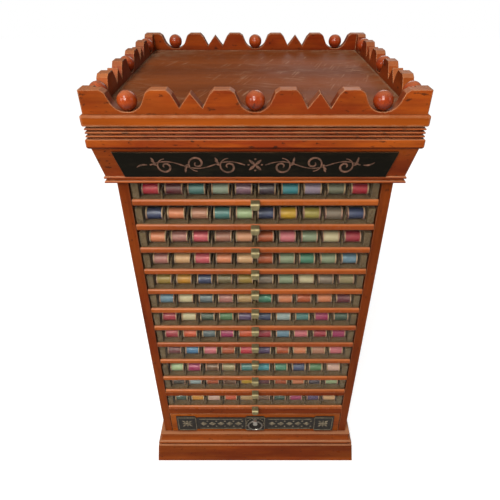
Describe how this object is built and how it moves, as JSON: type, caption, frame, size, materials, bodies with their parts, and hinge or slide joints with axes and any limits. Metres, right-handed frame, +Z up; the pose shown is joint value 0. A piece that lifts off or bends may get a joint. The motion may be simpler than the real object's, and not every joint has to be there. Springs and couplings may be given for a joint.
{
  "type": "thread drawer cabinet",
  "caption": "Countertop thread cabinet with shallow glass-fronted spool drawers, a wooden bottom drawer, moulded plinth, reeded cornice and a castellated gallery round its top tray",
  "frame": {"origin": "middle of the cabinet's footprint on the floor", "axes": "+X to the right seen from the front, +Y to the back, +Z up"},
  "size_m": [0.5184, 0.5084, 0.9503],
  "materials": {
    "cherry_case": "orange-red shellac on cherry, worn pale along the edges",
    "tray_wood": "dull brown varnish, dusty and scratched",
    "turned_balls": "glossy red-orange shellac",
    "inner_wood": "bare, darkened",
    "black_sign": "black paint, rubbed and dusty",
    "drawer_wood": "shellacked front rail, dusty olive-grey box",
    "drawer_front_wood": "orange shellac",
    "pane_glass": "thin old glass, slightly dusty",
    "wound_thread": "silk thread wound on small wooden spools",
    "pull_brass": "dull brass, tarnished",
    "black_iron": "black japanned casting, rubbed on its high spots",
    "ring_steel": "worn nickel"
  },
  "bodies": {
    "case": {"case_frame": "cherry_case", "drawer_runners": "inner_wood", "back_panel": "cherry_case", "cornice": "cherry_case", "top_board": "tray_wood", "sign_panel": "black_sign", "gallery_boards": "cherry_case", "gallery_balls": "turned_balls", "plinth": "cherry_case"},
    "drawer_01": {"drawer_01_box": "drawer_wood", "drawer_01_glass": "pane_glass", "drawer_01_spools": "wound_thread", "drawer_01_pull": "pull_brass"},
    "drawer_02": {"drawer_02_box": "drawer_wood", "drawer_02_glass": "pane_glass", "drawer_02_spools": "wound_thread", "drawer_02_pull": "pull_brass"},
    "drawer_03": {"drawer_03_box": "drawer_wood", "drawer_03_glass": "pane_glass", "drawer_03_spools": "wound_thread", "drawer_03_pull": "pull_brass"},
    "drawer_04": {"drawer_04_box": "drawer_wood", "drawer_04_glass": "pane_glass", "drawer_04_spools": "wound_thread", "drawer_04_pull": "pull_brass"},
    "drawer_05": {"drawer_05_box": "drawer_wood", "drawer_05_glass": "pane_glass", "drawer_05_spools": "wound_thread", "drawer_05_pull": "pull_brass"},
    "drawer_06": {"drawer_06_box": "drawer_wood", "drawer_06_glass": "pane_glass", "drawer_06_spools": "wound_thread", "drawer_06_pull": "pull_brass"},
    "drawer_07": {"drawer_07_box": "drawer_wood", "drawer_07_glass": "pane_glass", "drawer_07_spools": "wound_thread", "drawer_07_pull": "pull_brass"},
    "drawer_08": {"drawer_08_box": "drawer_wood", "drawer_08_glass": "pane_glass", "drawer_08_spools": "wound_thread", "drawer_08_pull": "pull_brass"},
    "drawer_09": {"drawer_09_box": "drawer_wood", "drawer_09_glass": "pane_glass", "drawer_09_spools": "wound_thread", "drawer_09_pull": "pull_brass"},
    "drawer_10": {"drawer_10_box": "drawer_wood", "drawer_10_glass": "pane_glass", "drawer_10_spools": "wound_thread", "drawer_10_pull": "pull_brass"},
    "drawer_11": {"drawer_11_box": "drawer_wood", "drawer_11_glass": "pane_glass", "drawer_11_spools": "wound_thread", "drawer_11_pull": "pull_brass"},
    "drawer_12": {"drawer_12_box": "drawer_wood", "drawer_12_glass": "pane_glass", "drawer_12_spools": "wound_thread", "drawer_12_pull": "pull_brass"},
    "bottom_drawer": {"bottom_drawer": "drawer_front_wood", "pull_plate": "black_iron"},
    "ring": {"drop_ring": "ring_steel"}
  },
  "joints": [
    {"name": "drawer_01_slide", "type": "slide", "parent": "case", "child": "drawer_01", "axis": [0, -1, 0], "range_m": [0, 0.33]},
    {"name": "drawer_02_slide", "type": "slide", "parent": "case", "child": "drawer_02", "axis": [0, -1, 0], "range_m": [0, 0.33]},
    {"name": "drawer_03_slide", "type": "slide", "parent": "case", "child": "drawer_03", "axis": [0, -1, 0], "range_m": [0, 0.33]},
    {"name": "drawer_04_slide", "type": "slide", "parent": "case", "child": "drawer_04", "axis": [0, -1, 0], "range_m": [0, 0.33]},
    {"name": "drawer_05_slide", "type": "slide", "parent": "case", "child": "drawer_05", "axis": [0, -1, 0], "range_m": [0, 0.33]},
    {"name": "drawer_06_slide", "type": "slide", "parent": "case", "child": "drawer_06", "axis": [0, -1, 0], "range_m": [0, 0.33]},
    {"name": "drawer_07_slide", "type": "slide", "parent": "case", "child": "drawer_07", "axis": [0, -1, 0], "range_m": [0, 0.33]},
    {"name": "drawer_08_slide", "type": "slide", "parent": "case", "child": "drawer_08", "axis": [0, -1, 0], "range_m": [0, 0.33]},
    {"name": "drawer_09_slide", "type": "slide", "parent": "case", "child": "drawer_09", "axis": [0, -1, 0], "range_m": [0, 0.33]},
    {"name": "drawer_10_slide", "type": "slide", "parent": "case", "child": "drawer_10", "axis": [0, -1, 0], "range_m": [0, 0.33]},
    {"name": "drawer_11_slide", "type": "slide", "parent": "case", "child": "drawer_11", "axis": [0, -1, 0], "range_m": [0, 0.33]},
    {"name": "drawer_12_slide", "type": "slide", "parent": "case", "child": "drawer_12", "axis": [0, -1, 0], "range_m": [0, 0.33]},
    {"name": "bottom_drawer_slide", "type": "slide", "parent": "case", "child": "bottom_drawer", "axis": [0, -1, 0], "range_m": [0, 0.33]},
    {"name": "ring_swing", "type": "hinge", "parent": "bottom_drawer", "child": "ring", "pos_m": [0, -0.2335, 0.1471], "axis": [-1, 0, 0], "range_deg": [0, 95]}
  ]
}
